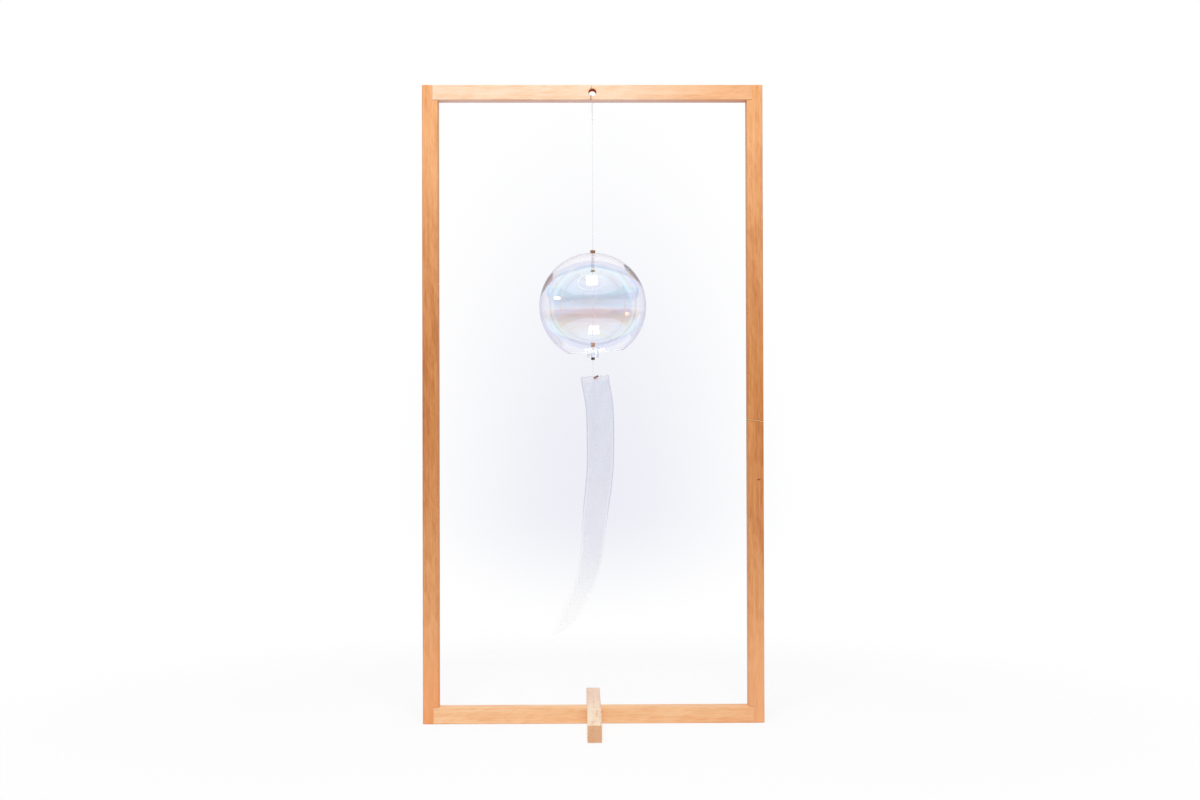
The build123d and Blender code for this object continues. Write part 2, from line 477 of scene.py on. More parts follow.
def make_line():
    """The loop round the rail, the two taut lines under it, and their knots."""
    material = nylon_material("nylon_line", line_cover)
    knotted = nylon_material("nylon_knot", knot_cover)
    rail_winding = make_knot("rail_knot", 4, knotted)
    clapper_winding = make_knot("clapper_knot", 3, knotted)
    ribbon_winding = make_knot("ribbon_knot", 3, knotted)

    # Loop, in millimetres: up the rail's front, through its hole, down its back and in to the knot
    loop_points = [
        (0, -0.475, 475.65),
        (-0.94, -5.11, 485.31),
        (-1.2, -6.4, 488.0),
        (-1.2, -6.4, 491.85),
        (-0.85, -3.4, 491.7),
        (0.05, 3.4, 491.6),
        (0.4, 6.4, 491.7),
        (0.4, 6.4, 488.0),
        (0.3, 5.11, 485.31),
        (0, 0.475, 475.65),
    ]
    loop_points = [Vector(point) * mm for point in loop_points]
    loop = make_cord("rail_loop_cord", loop_points, "frame", material)

    hanging, hanging_points = make_taut_cord("hanging_line", "bell_line", material)

    inner, inner_points = make_taut_cord("inner_line", "clapper", material)


# Wood


def wood_material(name, grain, near, far, reach, seed, marks=None):
    """Oiled cherry with its grain along one axis. near and far are its pale, middle and dark tones, and
    reach says where along the piece the near tones end and the far ones are full."""
    material, tree = new_material(name)
    coordinates = add(tree, "ShaderNodeTexCoord").outputs
    place = add(
        tree, "ShaderNodeVectorMath", {0: coordinates["Object"], 1: seed}, operation="ADD"
    ).outputs[0]

    def grained(wide, long, tilt=0.0, **settings):
        """Noise that is drawn out along the grain, or along a line tilted off it."""
        sizes = [wide, wide, wide]
        sizes[grain] = long
        turn = (tilt, 0.0, 0.0) if grain == 1 else (0.0, tilt, 0.0)
        moved = add(
            tree,
            "ShaderNodeMapping",
            {"Vector": place, "Rotation": turn, "Scale": sizes},
            vector_type="TEXTURE",
        ).outputs[0]
        return stretched_noise(tree, moved, (1.0, 1.0, 1.0), **settings)

    # Broad patches, a slanted figure, streaks and fine fibres, weighted and added up about 0.5
    fibres = grained(0.6 * mm, 9 * mm, detail=2.0, roughness=0.6)
    layers = [
        (grained(8.5 * mm, 100 * mm, detail=2.0, distortion=0.4), 0.5),
        (grained(7 * mm, 26 * mm, tilt=radians(-20.0), detail=2.0, distortion=0.8), 0.35),
        (grained(1.4 * mm, 50 * mm, detail=3.0, roughness=0.6), 0.5),
        (fibres, 0.55),
    ]
    share = 0.5 - sum(weight for _, weight in layers) / 2
    for layer, weight in layers:
        share = maths(tree, "MULTIPLY_ADD", layer, weight, share)

    # Short dark flecks
    flecks = fade(tree, grained(0.45 * mm, 3.2 * mm, detail=1.0), 0.66, 0.78)

    def toned(tones):
        """The grain in one set of tones."""
        pale, middle, dark = tones
        colour = ramp(tree, share, (0.28, pale), (0.5, middle), (0.76, dark))
        return mixed(tree, maths(tree, "MULTIPLY", flecks, fleck_share), colour, dark)

    generated = add(tree, "ShaderNodeSeparateXYZ", {0: coordinates["Generated"]}).outputs
    from_middle = [maths(tree, "ABSOLUTE", maths(tree, "SUBTRACT", axis, 0.5)) for axis in generated]
    start, end, outwards = reach
    along = from_middle[grain] if outwards else generated[grain]
    colour = mixed(tree, fade(tree, along, start, end), toned(near), toned(far))

    # Oil gathers on the arrises and in the end grain
    oiled = near[2]
    beside = [fade(tree, from_middle[axis], *arris_reach) for axis in range(3) if axis != grain]
    arris = maths(tree, "MULTIPLY", maths(tree, "MULTIPLY", *beside), arris_share)
    colour = mixed(tree, arris, colour, oiled)
    facing = add(tree, "ShaderNodeSeparateXYZ", {0: coordinates["Normal"]}).outputs[grain]
    end_grain = fade(tree, maths(tree, "ABSOLUTE", facing), 0.75, 0.95, 0.0, end_grain_share)
    colour = mixed(tree, end_grain, colour, oiled)
    gloss = wood_gloss
    if marks:
        colour, gloss = marks(tree, coordinates, colour)

    bump = add(
        tree,
        "ShaderNodeBump",
        {"Strength": 0.35, "Distance": 0.1 * mm, "Height": maths(tree, "SUBTRACT", fibres, flecks)},
    )
    surface = add(
        tree,
        "ShaderNodeBsdfPrincipled",
        {
            "Base Color": colour,
            "Roughness": fade(tree, fibres, 0.2, 0.8, 0.45, 0.62),
            "Specular IOR Level": gloss,
            "Normal": bump.outputs["Normal"],
        },
    )
    show(tree, surface.outputs["BSDF"])
    return material


def left_stile_marks(tree, coordinates, colour):
    """A paler lower end, painted as light from the floor's bounce."""
    height = add(tree, "ShaderNodeSeparateXYZ", {0: coordinates["Object"]}).outputs["Z"]
    lit_low_end = fade(tree, height, 0.0, left_floor_light_reach, floor_light_share, 0.0)
    return mixed(tree, lit_low_end, colour, srgb(255, 168, 108)), wood_gloss


def right_stile_marks(tree, coordinates, colour):
    """A paler lower end painted as light from the floor's bounce, a pale wavy line with dark borders, and a
    pin knot under it.
    """
    low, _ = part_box("right_stile")
    x, _, z = add(tree, "ShaderNodeSeparateXYZ", {0: coordinates["Object"]}).outputs
    # Painted light from the floor's bounce on the lower end
    lit_low_end = fade(tree, z, 0.0, right_floor_light_reach, floor_light_share, 0.0)
    colour = mixed(tree, lit_low_end, colour, srgb(254, 184, 132))

    across = maths(tree, "SUBTRACT", x, low.x)
    slope = maths(tree, "MULTIPLY", across, pale_line_slope)
    phase = maths(tree, "MULTIPLY", across, tau / pale_line_wave_length)
    wave = maths(tree, "MULTIPLY", maths(tree, "SINE", phase), pale_line_wave)
    height = maths(tree, "SUBTRACT", z, pale_line_height)
    height = maths(tree, "ADD", height, maths(tree, "ADD", slope, wave))
    off = maths(tree, "ABSOLUTE", height)
    colour = mixed(tree, fade(tree, off, *border_half, border_share, 0.0), colour, srgb(146, 78, 38))
    pale_line = fade(tree, off, *pale_line_half, pale_line_share, 0.0)
    colour = mixed(tree, pale_line, colour, srgb(242, 192, 126))

    knot = round_spot(tree, x, z, pin_knot, pin_knot_radii, 0.4)
    knot = maths(tree, "MULTIPLY", knot, pin_knot_share)
    return mixed(tree, knot, colour, srgb(140, 56, 24)), wood_gloss


def rail_marks(tree, coordinates, colour):
    """Painted shade on the top rail's underside, bare matt wood with painted shade in its drilled hole, and
    a small dark spot over it.
    """
    low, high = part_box("top_rail")
    middle = ((low.x + high.x) / 2, (low.z + high.z) / 2)
    x, _, z = add(tree, "ShaderNodeSeparateXYZ", {0: coordinates["Object"]}).outputs
    upwards = add(tree, "ShaderNodeSeparateXYZ", {0: coordinates["Normal"]}).outputs["Z"]
    # Painted shade: the downward-facing underside is darkened and tinted
    under = fade(tree, upwards, -0.9, -0.6, 1.0, 0.0)
    colour = mixed(tree, under, colour, underside_shade_tint, "MULTIPLY")

    # The hole is bare matt wood, and its darker colour also carries painted shade for the recess
    radius = bare_reach * rail_hole_diameter / 2
    hole = round_spot(tree, x, z, middle, (radius, radius), 0.04)
    colour = mixed(tree, maths(tree, "MULTIPLY", hole, bare_and_shade_share), colour, srgb(214, 130, 68))
    # A small darker spot over the hole
    dark_spot_middle = (middle[0] + dark_spot_aside, high.z - dark_spot_below_top)
    dark_spot = round_spot(tree, x, z, dark_spot_middle, dark_spot_radii, 0.5)
    colour = mixed(tree, maths(tree, "MULTIPLY", dark_spot, dark_spot_share), colour, srgb(140, 84, 50))
    return colour, maths(tree, "MULTIPLY_ADD", hole, -wood_gloss, wood_gloss)


def dress_wood():
    """Dress each bar by its grain's axis, two tones, their reach, the grain's shift and its marks."""
    brown = (srgb(222, 152, 90), srgb(206, 133, 73), srgb(178, 102, 48))
    orange = (srgb(246, 186, 130), srgb(237, 170, 112), srgb(216, 143, 86))
    cream = (srgb(250, 222, 194), srgb(246, 210, 176), srgb(238, 184, 138))
    honey = (srgb(243, 191, 144), srgb(238, 178, 126), srgb(222, 150, 98))
    straw = (srgb(255, 218, 173), srgb(254, 204, 153), srgb(240, 173, 119))
    amber = (srgb(250, 206, 156), srgb(248, 190, 137), srgb(236, 161, 106))
    bare = (srgb(254, 225, 200), srgb(250, 216, 186), srgb(214, 150, 102))
    front_tones = (srgb(255, 238, 208), srgb(255, 229, 195), srgb(220, 158, 110))
    outwards = (0.02, 0.47, True)
    woods = {
        # The stiles' darker middles and paler ends are painted light: the top light and the floor's bounce
        # brighten both ends
        "left_stile": (2, brown, orange, outwards, (0.3, 0.1, 0.0), left_stile_marks),
        "right_stile": (2, brown, orange, outwards, (0.7, 0.4, 0.35), right_stile_marks),
        "top_rail": (0, cream, honey, (0.5, 0.95, False), (0.0, 0.5, 0.2), rail_marks),
        "bottom_rail": (0, straw, amber, (0.45, 1.0, False), (0.2, 0.9, 0.6), None),
        # The foot is paler towards its front end
        "foot": (1, front_tones, bare, (0.2, 0.7, False), (0.8, 0.0, 0.9), None),
    }
    for name, (grain, near, far, reach, seed, marks) in woods.items():
        dress(name, wood_material(f"cherry_{name}", grain, near, far, reach, seed, marks))


# Floor, backdrop and light


def make_floor():
    """A pale floor. The eye sees it near the object, with the shadow of what stands on it, and further out
    it runs into the backdrop without an edge. Mirrored, it gives way to the bands of light and dark."""
    corners = [
        (floor_left, floor_front, 0),
        (floor_right, floor_front, 0),
        (floor_right, floor_back, 0),
        (floor_left, floor_back, 0),
    ]
    mesh = bpy.data.meshes.new("floor")
    mesh.from_pydata(corners, [], [(0, 1, 2, 3)])
    material, tree = new_material("floor")
    path = add(tree, "ShaderNodeLightPath").outputs
    place = add(tree, "ShaderNodeTexCoord").outputs["Object"]
    distance = add(tree, "ShaderNodeVectorMath", {0: place}, operation="LENGTH").outputs["Value"]
    eye = maths(tree, "MAXIMUM", path["Is Camera Ray"], path["Is Transmission Ray"])
    mirrored = maths(tree, "GREATER_THAN", path["Glossy Depth"], 0.5)
    matt = add(tree, "ShaderNodeBsdfDiffuse", {"Color": srgb(250, 250, 252)})
    light = add(tree, "ShaderNodeEmission", {"Color": white, "Strength": 1.0})
    seen = maths(tree, "MULTIPLY", eye, floor_glow)
    near = add(
        tree, "ShaderNodeMixShader", {0: seen, 1: matt.outputs["BSDF"], 2: light.outputs["Emission"]}
    )
    away = maths(tree, "MULTIPLY", eye, fade(tree, distance, *floor_fades))
    clear = add(tree, "ShaderNodeBsdfTransparent")
    surface = add(
        tree,
        "ShaderNodeMixShader",
        {0: maths(tree, "MAXIMUM", away, mirrored), 1: near.outputs["Shader"], 2: clear.outputs["BSDF"]},
    )
    show(tree, surface.outputs["Shader"])
    mesh.materials.append(material)
    floor = bpy.data.objects.new("floor", mesh)
    bpy.context.scene.collection.objects.link(floor)


def backdrop_colour(tree, x, y, z):
    """White, with a pale lavender patch straight behind the object."""
    up = maths(tree, "SUBTRACT", z, patch_up)
    above = maths(tree, "DIVIDE", maths(tree, "MAXIMUM", up, 0.0), patch_rise)
    below = maths(tree, "DIVIDE", maths(tree, "MINIMUM", up, 0.0), patch_drop)
    aside = maths(tree, "DIVIDE", maths(tree, "SUBTRACT", x, patch_aside), patch_half_width)
    spread = 0.0
    for offset in (above, below, aside):
        spread = maths(tree, "MULTIPLY_ADD", offset, offset, spread)
    spread = maths(tree, "SQRT", spread)
    behind = maths(tree, "GREATER_THAN", y, 0.0)
    tinted = maths(tree, "MULTIPLY", fade(tree, spread, 0.0, 1.05, 1.0, 0.0), behind)
    return mixed(tree, tinted, white, srgb(*patch_tone))


def bands_in_front(tree, x, z, streak):
    """Level bands that bow and waver a little: pale below, dark and blue in the middle, bright overhead."""
    squared = maths(tree, "MULTIPLY", x, x)
    height = maths(tree, "MULTIPLY_ADD", squared, band_bow, z)
    height = maths(tree, "MULTIPLY_ADD", x, band_slope, height)
    height = maths(tree, "MULTIPLY_ADD", height, 0.5, band_level)
    height = maths(tree, "MULTIPLY_ADD", streak, band_waver, height)
    front = ramp(
        tree,
        height,
        (0.05, (0.8, 0.8, 0.96, 1.0)),
        (0.13, (0.86, 0.46, 0.66, 1.0)),
        (0.257, (0.84, 0.42, 0.5, 1.0)),
        (0.275, (0.03, 0.012, 0.01, 1.0)),
        (0.375, (0.06, 0.03, 0.025, 1.0)),
        (0.4, (0.2, 0.16, 0.2, 1.0)),
        (0.43, (0.24, 0.28, 0.6, 1.0)),
        (0.47, (0.3, 0.36, 0.66, 1.0)),
        (0.52, (0.48, 0.56, 0.84, 1.0)),
        (0.585, (0.48, 0.56, 0.84, 1.0)),
        (0.612, (0.15, 0.17, 0.48, 1.0)),
        (0.66, (0.14, 0.2, 0.7, 1.0)),
        (0.7, (0.3, 0.76, 1.6, 1.0)),
        (0.96, (0.74, 1.0, 1.08, 1.0)),
    )

    # Bluer low down on the right
    low_down = fade(tree, height, *blue_ends, 1.0, 0.0)
    bluer = maths(tree, "MULTIPLY", fade(tree, x, *blue_starts), low_down)
    front = mixed(tree, bluer, front, (0.74, 0.6, 0.9, 1.0))

    # Fine dark lines, not overhead
    direction = add(tree, "ShaderNodeTexCoord").outputs["Generated"]
    fine = stretched_noise(tree, direction, (1.2, 1.2, 24.0), detail=2.0)
    not_overhead = fade(tree, height, *lines_end, 1.0, 0.0)
    lines = maths(tree, "MULTIPLY", fade(tree, fine, 0.5, 0.66, 0.0, 0.5), not_overhead)
    return mixed(tree, lines, front, (0.06, 0.06, 0.1, 1.0))


def mirrored_colour(tree, x, y, z):
    """What glass and metal mirror: bands in front, a pale field behind and a bright patch on the left."""
    direction = add(tree, "ShaderNodeTexCoord").outputs["Generated"]
    streak = stretched_noise(tree, direction, (1.4, 1.4, 22.0), detail=4.0, roughness=0.65)
    front = bands_in_front(tree, x, z, streak)

    # The field behind begins past a line that runs overhead and down both sides
    squared = maths(tree, "MULTIPLY", x, x)
    drawn_back = fade(tree, z, *arch_heights, 0.0, arch_pull)
    arch = maths(tree, "MULTIPLY", maths(tree, "SUBTRACT", 1.0, z), drawn_back)
    depth = maths(tree, "MULTIPLY_ADD", squared, arch, y)
    level = fade(tree, maths(tree, "ABSOLUTE", z), *field_heights)
    behind = mixed(tree, level, (0.8, 0.79, 0.93, 1.0), (0.97, 0.95, 1.0, 1.0))
    colour = mixed(tree, fade(tree, depth, *field_starts), front, behind)

    # Two dark blue strips overhead
    overhead = fade(tree, z, *strip_heights)
    for middle, half, strength in strips_overhead:
        off = maths(tree, "ABSOLUTE", maths(tree, "SUBTRACT", depth, middle))
        strip = maths(tree, "MULTIPLY", fade(tree, off, 0.6 * half, half, strength, 0.0), overhead)
        colour = mixed(tree, strip, colour, (0.0, 0.03, 0.4, 1.0))

    # Dark corners up behind, on the left and the right
    beside = maths(tree, "MULTIPLY_ADD", x, corner_lopsided, maths(tree, "ABSOLUTE", x))
    least_beside = 0.001
    rise = maths(tree, "DIVIDE", z, maths(tree, "MAXIMUM", beside, least_beside))
    off_middle = maths(tree, "ABSOLUTE", maths(tree, "SUBTRACT", rise, corner_middle))
    ragged = maths(tree, "MULTIPLY_ADD", streak, corner_ragged, y)
    ragged = maths(tree, "MULTIPLY_ADD", off_middle, corner_pointed, ragged)
    corner = fade(tree, rise, *corner_low)
    for limit in (
        fade(tree, rise, *corner_high, 1.0, 0.0),
        fade(tree, ragged, *corner_starts),
        fade(tree, y, *corner_fades, 1.0, 0.4),
    ):
        corner = maths(tree, "MULTIPLY", corner, limit)
    colour = mixed(tree, corner, colour, (0.1, 0.04, 0.02, 1.0))

    # Bright patch on the left
    bright = round_spot(tree, y, z, bright_patch, bright_patch_radii, 0.4)
    bright = maths(tree, "MULTIPLY", bright, maths(tree, "LESS_THAN", x, 0.0))
    return mixed(tree, bright, colour, bright_patch_light)


def make_world():
    """White to the eye, plain even light on the object, and bands in what glass and metal mirror."""
    world = bpy.data.worlds.new("studio")
    bpy.context.scene.world = world
    world.use_nodes = True
    tree = world.node_tree
    tree.nodes.clear()
    direction = add(tree, "ShaderNodeTexCoord").outputs["Generated"]
    axes = add(tree, "ShaderNodeSeparateXYZ", {0: direction}).outputs
    path = add(tree, "ShaderNodeLightPath").outputs
    in_mirror = maths(tree, "GREATER_THAN", path["Glossy Depth"], 0.5)
    not_in_mirror = maths(tree, "SUBTRACT", 1.0, in_mirror)
    through = maths(tree, "MULTIPLY", path["Is Transmission Ray"], not_in_mirror)
    seen = maths(tree, "MAXIMUM", path["Is Camera Ray"], through)
    colour = mixed(tree, in_mirror, ambient, mirrored_colour(tree, *axes))
    colour = mixed(tree, seen, colour, backdrop_colour(tree, *axes))
    light = add(tree, "ShaderNodeBackground", {"Color": colour, "Strength": 1.0})
    add(tree, "ShaderNodeOutputWorld", {"Surface": light.outputs["Background"]})


def make_key_light():
    """One soft box above and in front, aimed at the bell."""
    low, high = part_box("glass_bell")
    bell = (low + high) / 2
    data = bpy.data.lights.new("key", "AREA")
    data.shape = "RECTANGLE"
    data.size = key_width
    data.size_y = key_height
    data.energy = key_power
    lamp = bpy.data.objects.new("key", data)
    lamp.location = bell + key_from_bell
    lamp.rotation_mode = "QUATERNION"
    lamp.rotation_quaternion = (-key_from_bell).to_track_quat("-Z", "Y")
    bpy.context.scene.collection.objects.link(lamp)


# Glass


def lets_lamps_through(tree, glass):
    """The glass as it is seen, but clear to the light that falls through it."""
    path = add(tree, "ShaderNodeLightPath")
    clear = add(tree, "ShaderNodeBsdfTransparent", {"Color": (0.95, 0.96, 0.98, 1.0)})
    return add(
        tree,
        "ShaderNodeMixShader",
        {0: path.outputs["Is Shadow Ray"], 1: glass, 2: clear.outputs["BSDF"]},
    ).outputs["Shader"]


def film_share(thickness):
    """A film's thickness as a share of the way from the thinnest to the thickest."""
    return (thickness - thinnest_film) / (thickest_film - thinnest_film)


def lustre_material(centre, radius):
    """Clear glass under a metal-oxide lustre, a film of changing thickness in nanometres down the globe.
    Where it is thick, its metal takes a little of the light."""
    material, tree = new_material("lustre_glass")
    place = add(tree, "ShaderNodeTexCoord").outputs["Object"]
    offset = add(tree, "ShaderNodeVectorMath", {0: place, 1: centre}, operation="SUBTRACT").outputs[0]
    across, _, height = add(tree, "ShaderNodeSeparateXYZ", {0: offset}).outputs
    height = maths(tree, "DIVIDE", height, radius)
    swirl = stretched_noise(tree, offset, (14, 14, 70), detail=2.0, distortion=0.4)
    level = maths(tree, "MULTIPLY_ADD", swirl, film_swirl, height)
    stops = []
    for at, thickness in lustre_film:
        share = film_share(thickness)
        stops.append((at / 2 + 0.5, (share, share, share, 1.0)))
    ramp_place = maths(tree, "MULTIPLY_ADD", level, 0.5, 0.5 - film_swirl / 4)
    film = ramp(tree, ramp_place, *stops)

    # The film is thicker on the shoulders, left and right
    film_span = thickest_film - thinnest_film
    aside = maths(tree, "DIVIDE", maths(tree, "ABSOLUTE", across), radius)
    extra = fade(tree, aside, *side_starts, 0.0, thicker_side / film_span)
    shoulder = maths(tree, "MULTIPLY", extra, fade(tree, height, *side_heights))
    film = maths(tree, "ADD", film, shoulder)

    thick = fade(tree, film, *[film_share(thickness) for thickness in tinted_film])
    thick = maths(tree, "MULTIPLY", thick, fade(tree, height, *tint_heights))
    glass = add(
        tree,
        "ShaderNodeBsdfPrincipled",
        {
            "Base Color": mixed(tree, thick, white, film_tint),
            "Roughness": 0.0,
            "IOR": glass_ior,
            "Transmission Weight": 1.0,
            "Thin Film Thickness": maths(tree, "MULTIPLY_ADD", film, film_span, thinnest_film),
            "Thin Film IOR": film_ior,
        },
    )
    show(tree, lets_lamps_through(tree, glass.outputs["BSDF"]))
    return material


def clear_material(name, tint, edge, alpha=1.0):
    """Clear, polished glass or plastic with painted shade at its edges: the colour greys where the surface
    is seen edge-on, as thick clear walls look.
    """
    material, tree = new_material(name)
    # Painted shade: greyer towards the edges seen edge-on
    facing = add(tree, "ShaderNodeLayerWeight", {"Blend": 0.5}).outputs["Facing"]
    glass = add(
        tree,
        "ShaderNodeBsdfPrincipled",
        {
            "Base Color": ramp(tree, facing, (0.55, tint), (0.97, edge)),
            "Roughness": 0.0,
            "IOR": glass_ior,
            "Transmission Weight": 1.0,
            "Alpha": alpha,
        },
    )
    show(tree, lets_lamps_through(tree, glass.outputs["BSDF"]))
    return material


def rim_material():
    """The mouth's ground and fire-polished edge: pale and glossy, its paleness partly that of ground glass
    and partly a painted highlight for the rim's bright line.
    """
    material, tree = new_material("globe_rim")
    place = add(tree, "ShaderNodeTexCoord").outputs["Object"]
    ground = stretched_noise(tree, place, (1500, 1500, 1500), detail=2.0)
    # Painted highlight: a near-white, mostly opaque base stands in for the rim's bright line
    edge = add(
        tree,
        "ShaderNodeBsdfPrincipled",
        {
            "Base Color": ramp(tree, ground, (0.3, srgb(251, 252, 254)), (0.7, white)),
            "Roughness": fade(tree, ground, 0.3, 0.7, 0.12, 0.3),
            "IOR": glass_ior,
            "Alpha": 0.7,
        },
    )
    show(tree, edge.outputs["BSDF"])
    return material


def make_globe():
    """A thin blown shell with the line's hole on top and a ground mouth on a tilted plane below."""
    low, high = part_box("glass_bell")
    radius = (high.x - low.x) / 2
    inside = radius - glass_wall
    centre = Vector(((low.x + high.x) / 2, (low.y + high.y) / 2, high.z - radius))
    mouth_axis = Vector((-sin(mouth_tilt), 0, cos(mouth_tilt)))
    mouth_depth = sqrt(radius**2 - (mouth_diameter / 2) ** 2)
    turns = 224
    rings = 90

    def polar_end(sphere, angle):
        """Angle down from the top at which a sphere meets the mouth's plane."""
        side = mouth_axis.x * cos(angle)
        reach = sqrt(mouth_axis.z**2 + side**2)
        return atan2(side, mouth_axis.z) + acos(-mouth_depth / sphere / reach)

    def on_sphere(sphere, polar, angle):
        """A point of the rippled glass, calm near the top and bottom."""
        way = Vector((sin(polar) * cos(angle), sin(polar) * sin(angle), cos(polar)))
        grown = min(1.0, sin(polar) * ripple_growth)
        wave = noise.noise(way * radius / ripple_length) * blown_ripple * grown
        return centre + way * (sphere + wave)

    def eased(corner, before, after):
        """Three points round an eased corner."""
        return [
            before.lerp(corner, t).lerp(corner.lerp(after, t), t) for t in (0.25, 0.5, 0.75)
        ]

    def section(angle):
        """The wall's outline at one angle: down outside, round the rim and up inside."""
        hole = asin(line_hole_diameter / 2 / radius)
        ease = rim_ease / radius
        outer_end = polar_end(radius, angle)
        inner_end = polar_end(inside, angle)
        outer = [
            on_sphere(radius, hole + (outer_end - ease - hole) * ring / rings, angle)
            for ring in range(rings + 1)
        ]
        inner = [
            on_sphere(inside, hole + (inner_end - ease - hole) * ring / rings, angle)
            for ring in range(rings, -1, -1)
        ]
        outer_corner = on_sphere(radius, outer_end, angle)
        inner_corner = on_sphere(inside, inner_end, angle)
        across = (inner_corner - outer_corner).normalized() * rim_ease
        flat_start = outer_corner + across
        flat_end = inner_corner - across
        rim = [
            *eased(outer_corner, outer[-1], flat_start),
            flat_start,
            flat_end,
            *eased(inner_corner, flat_end, inner[0]),
        ]
        return outer + rim + inner

    sections = [section(tau * turn / turns) for turn in range(turns)]
    count = len(sections[0])
    points = [point for outline in sections for point in outline]
    faces = []
    for turn in range(turns):
        first = turn * count
        second = (turn + 1) % turns * count
        for step in range(count):
            following = (step + 1) % count
            faces.append((first + step, first + following, second + following, second + step))

    lustre = lustre_material(centre, radius)
    clear = clear_material("globe_inside", white, srgb(238, 238, 242))
    finishes = [lustre, clear, rim_material()]
    inside_finish = 1
    rim_finish = 2
    rim_faces = count - 2 * (rings + 1)
    globe = new_piece("globe_shell", points, faces, "bell", finishes)
    for index, face in enumerate(globe.data.polygons):
        step = index % count
        if step >= rings:
            face.material_index = rim_finish if step < rings + rim_faces else inside_finish
    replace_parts(globe, "glass_bell")


def dress_glass():
    # Their edge colours are painted shade
    clapper = clear_material("clapper_glass", srgb(252, 253, 254), srgb(132, 140, 154), 0.75)
    dress("clapper", clapper)
    dress("stop_tube", clear_material("stop_tube", srgb(247, 244, 240), srgb(150, 150, 156), 0.8))


# Beads


def bead_material(name, bright, dull, metallic):
    """Pressed metal that has dulled unevenly."""
    material, tree = new_material(name)
    place = add(tree, "ShaderNodeTexCoord").outputs["Object"]
    patina = stretched_noise(tree, place, (900, 900, 900), detail=4.0)
    spots = stretched_noise(tree, place, (3500, 3500, 3500), detail=2.0)
    bump = add(tree, "ShaderNodeBump", {"Strength": 0.3, "Distance": 0.04 * mm, "Height": spots})
    metal = add(
        tree,
        "ShaderNodeBsdfPrincipled",
        {
            "Base Color": ramp(tree, patina, (0.38, bright), (0.68, dull)),
            "Metallic": metallic,
            "Roughness": fade(tree, patina, 0.3, 0.7, 0.3, 0.5),
            "Specular IOR Level": 0.3,
            "Normal": bump.outputs["Normal"],
        },
    )
    show(tree, metal.outputs["BSDF"])
    return material


def dress_beads():
    dress("top_bead", bead_material("copper_bead", srgb(204, 146, 104), srgb(134, 90, 64), 0.3))
    dress("upper_clapper_bead", bead_material("tan_bead", srgb(196, 156, 92), srgb(140, 108, 62), 0.2))
    dress("ribbon_crimp", bead_material("brown_crimp", srgb(176, 132, 108), srgb(116, 84, 72), 0.3))
    dark = bead_material("dark_bead", srgb(82, 62, 50), srgb(46, 34, 28), 0.25)
    for name in ("stop_bead", "lower_clapper_bead"):
        dress(name, dark)


# Cloth strip


def cloth_material():
    """Sheer plain-woven cloth with painted light that whitens it towards its free end, where the twist
    turns it to the light, and with a dense edge and a thin row inside it.
    """
    material, tree = new_material("sheer_cloth")
    uv = add(tree, "ShaderNodeTexCoord").outputs["UV"]
    across, along, _ = add(tree, "ShaderNodeSeparateXYZ", {0: uv}).outputs
    down = maths(tree, "DIVIDE", along, ribbon_length)
    warp = maths(tree, "SINE", maths(tree, "MULTIPLY", across, tau / warp_spacing))
    weft = maths(tree, "SINE", maths(tree, "MULTIPLY", along, tau / weft_spacing))
    weave = maths(tree, "MULTIPLY", warp, weft)
    slubs = stretched_noise(tree, uv, (1500, 90, 1), detail=2.0)
    rows = stretched_noise(tree, uv, (90, 1500, 1), detail=2.0)
    threads = maths(tree, "MULTIPLY", maths(tree, "ADD", slubs, rows), 0.5)

    # Selvedge: an edge that is dense and grey above and thin and white below, with a thin row inside it
    inset = maths(tree, "SUBTRACT", ribbon_width / 2, maths(tree, "ABSOLUTE", across))
    edge = fade(tree, inset, *edge_inset, 1.0, 0.0)
    white_edge = maths(tree, "MULTIPLY", edge, fade(tree, down, *edge_whitens))
    off_row = maths(tree, "ABSOLUTE", maths(tree, "SUBTRACT", inset, thin_row_inset))
    thin_row = fade(tree, off_row, *thin_row_half, 1.0, 0.0)
    thin_row = maths(tree, "MULTIPLY", thin_row, fade(tree, down, *thin_row_starts))
    middle = fade(tree, down, *cloth_thins)
    # Painted light at the free end, which the twist turns to the light
    end = fade(tree, down, *end_painted_light)

    # Share of the light that the cloth stops
    cover = 0.275
    for part, share in (
        (weave, 0.02),
        (threads, 0.14),
        (thin_row, -0.1),
        (edge, 0.14),
        (white_edge, -0.08),
        (down, -0.1),
        (middle, -0.12),
        (end, -0.06),
    ):
        cover = maths(tree, "MULTIPLY_ADD", part, share, cover)

    clouds = stretched_noise(tree, uv, (55, 26, 1), detail=2.0)
    tone = ramp(tree, clouds, (0.3, srgb(214, 218, 234)), (0.7, srgb(230, 233, 245)))
    tone = mixed(tree, edge, tone, srgb(206, 210, 228))
    tone = mixed(tree, fade(tree, along, *hem_depth, 0.6, 0.0), tone, srgb(234, 235, 242))
    # Painted light: the free end is painted near white
    tone = mixed(tree, end, tone, srgb(252, 252, 254))
    tone = mixed(tree, white_edge, tone, white)
    front = add(tree, "ShaderNodeBsdfDiffuse", {"Color": tone})
    back = add(tree, "ShaderNodeBsdfTranslucent", {"Color": tone})
    let_through = maths(tree, "MULTIPLY_ADD", white_edge, -0.25, 0.35)
    fibre = add(
        tree, "ShaderNodeMixShader", {0: let_through, 1: front.outputs["BSDF"], 2: back.outputs["BSDF"]}
    )
    gaps = add(tree, "ShaderNodeBsdfTransparent")
    surface = add(
        tree, "ShaderNodeMixShader", {0: cover, 1: gaps.outputs["BSDF"], 2: fibre.outputs["Shader"]}
    )
    show(tree, surface.outputs["Shader"])
    return material


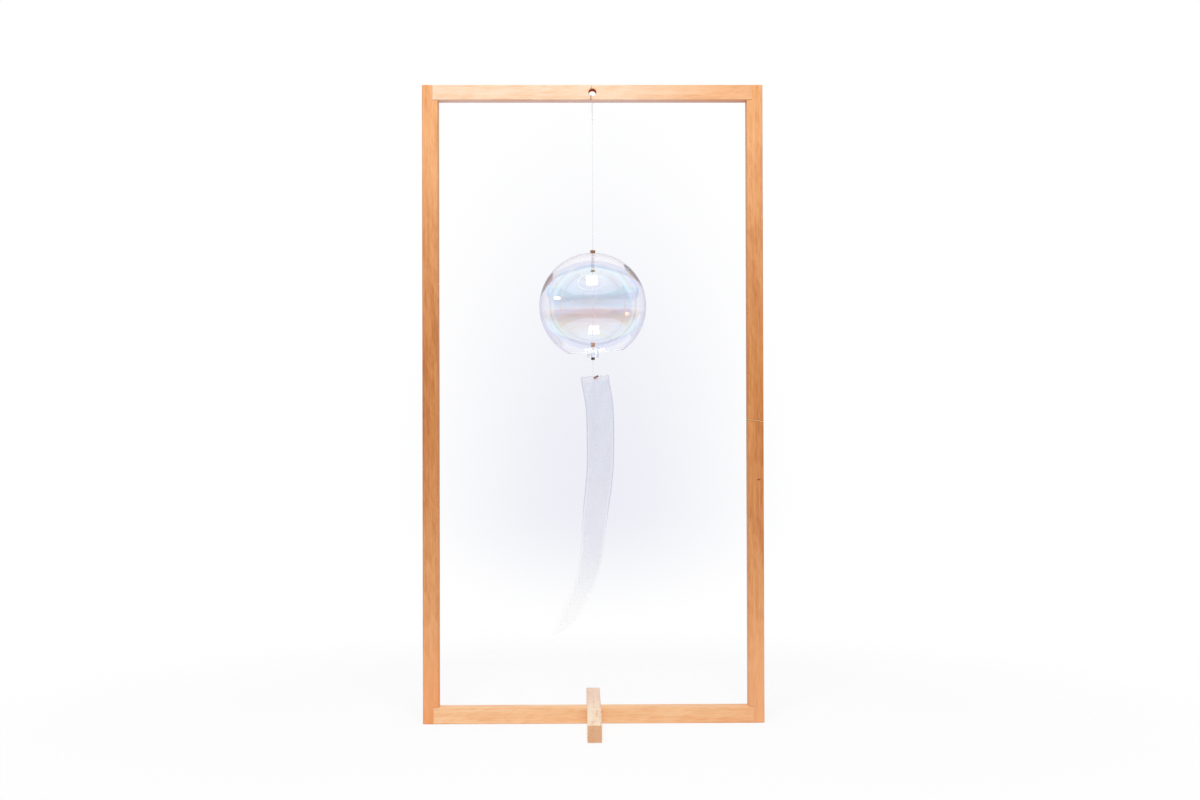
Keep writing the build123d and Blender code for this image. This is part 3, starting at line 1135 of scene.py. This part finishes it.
def ribbon_sway(share):
    """Sideways drift of the hung cloth at a share of its length, eased between listed places."""
    for (start, first), (end, last) in zip(sway_places, sway_places[1:]):
        if share <= end:
            return first + (last - first) * (1 - cos(pi * (share - start) / (end - start))) / 2
    return sway_places[-1][1]


def ribbon_lean(share):
    """Sideways lean in radians at a share of the length: a parabola through three leans."""
    bend = 2 * (lean_at_top + lean_at_end - 2 * lean_at_middle)
    slope = lean_at_end - lean_at_top - bend
    return radians(lean_at_top + slope * share + bend * share**2)


def ribbon_course(share):
    """Directions along and across the cloth at a share of the length."""
    lean = ribbon_lean(share)
    curl = forward_curl * share**2
    along = Vector((sin(lean) * cos(curl), -sin(curl), -cos(lean) * cos(curl)))
    across = Matrix.Rotation(end_twist * share, 3, along) @ Vector((cos(lean), 0, sin(lean)))
    return along, across


def ribbon_fold(at, side):
    """How far the small folds lift the cloth, at a length down it and a side from -1 to 1."""
    pucker = pucker_depth * cos(side * pucker_turn) * max(0.0, 1 - abs(side) ** 3)
    pucker /= 1 + (at / pucker_reach) ** 2
    wave = wave_depth * sin(at / wave_reach + wave_slant * side) * min(1.0, at / wave_builds_over)
    return pucker + wave + hollow_depth * (side**2 - hollow_level)


def make_ribbon():
    """The hung strip: it leans, curls and twists, with puckers under its crimp and a slanted end."""
    _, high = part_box("tanzaku")
    rows = 150
    columns = 24
    step = ribbon_length / rows
    places = [Vector((ribbon_shift, 0, high.z))]
    for row in range(rows):
        places.append(places[-1] + ribbon_course((row + 0.5) / rows)[0] * step)
    half = ribbon_width / 2
    points = []
    flat = []
    for row in range(rows + 1):
        for column in range(columns + 1):
            offset = (column / columns - 0.5) * ribbon_width
            side = offset / half
            # Each column stops where the slanted end crosses it
            last = ribbon_length - (offset + half) * tan(end_cut) + end_bulge * (1 - side**2)
            at = last * row / rows
            share = at / ribbon_length
            base = min(int(share * rows), rows - 1)
            middle = places[base].lerp(places[base + 1], share * rows - base)
            along, across = ribbon_course(share)
            drift = Vector((ribbon_sway(share), 0, 0))
            lift = along.cross(across) * ribbon_fold(at, side)
            points.append(middle + drift + across * offset + lift)
            flat.append((offset, at))
    faces = []
    width = columns + 1
    for row in range(rows):
        for column in range(columns):
            first = row * width + column
            faces.append((first, first + width, first + width + 1, first + 1))
    cloth = new_piece("cloth_strip", points, faces, "tanzaku", [cloth_material()])
    layer = cloth.data.uv_layers.new(name="flat")
    for loop in cloth.data.loops:
        layer.data[loop.index].uv = flat[loop.vertex_index]
    solid = cloth.modifiers.new("thickness", "SOLIDIFY")
    solid.thickness = cloth_thickness
    solid.offset = 0.0
    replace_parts(cloth, "tanzaku")


bpy.context.scene.view_settings.view_transform = "Standard"
make_camera()
make_line()
make_world()
make_key_light()
make_floor()
dress_wood()
make_globe()
dress_glass()
dress_beads()
make_ribbon()
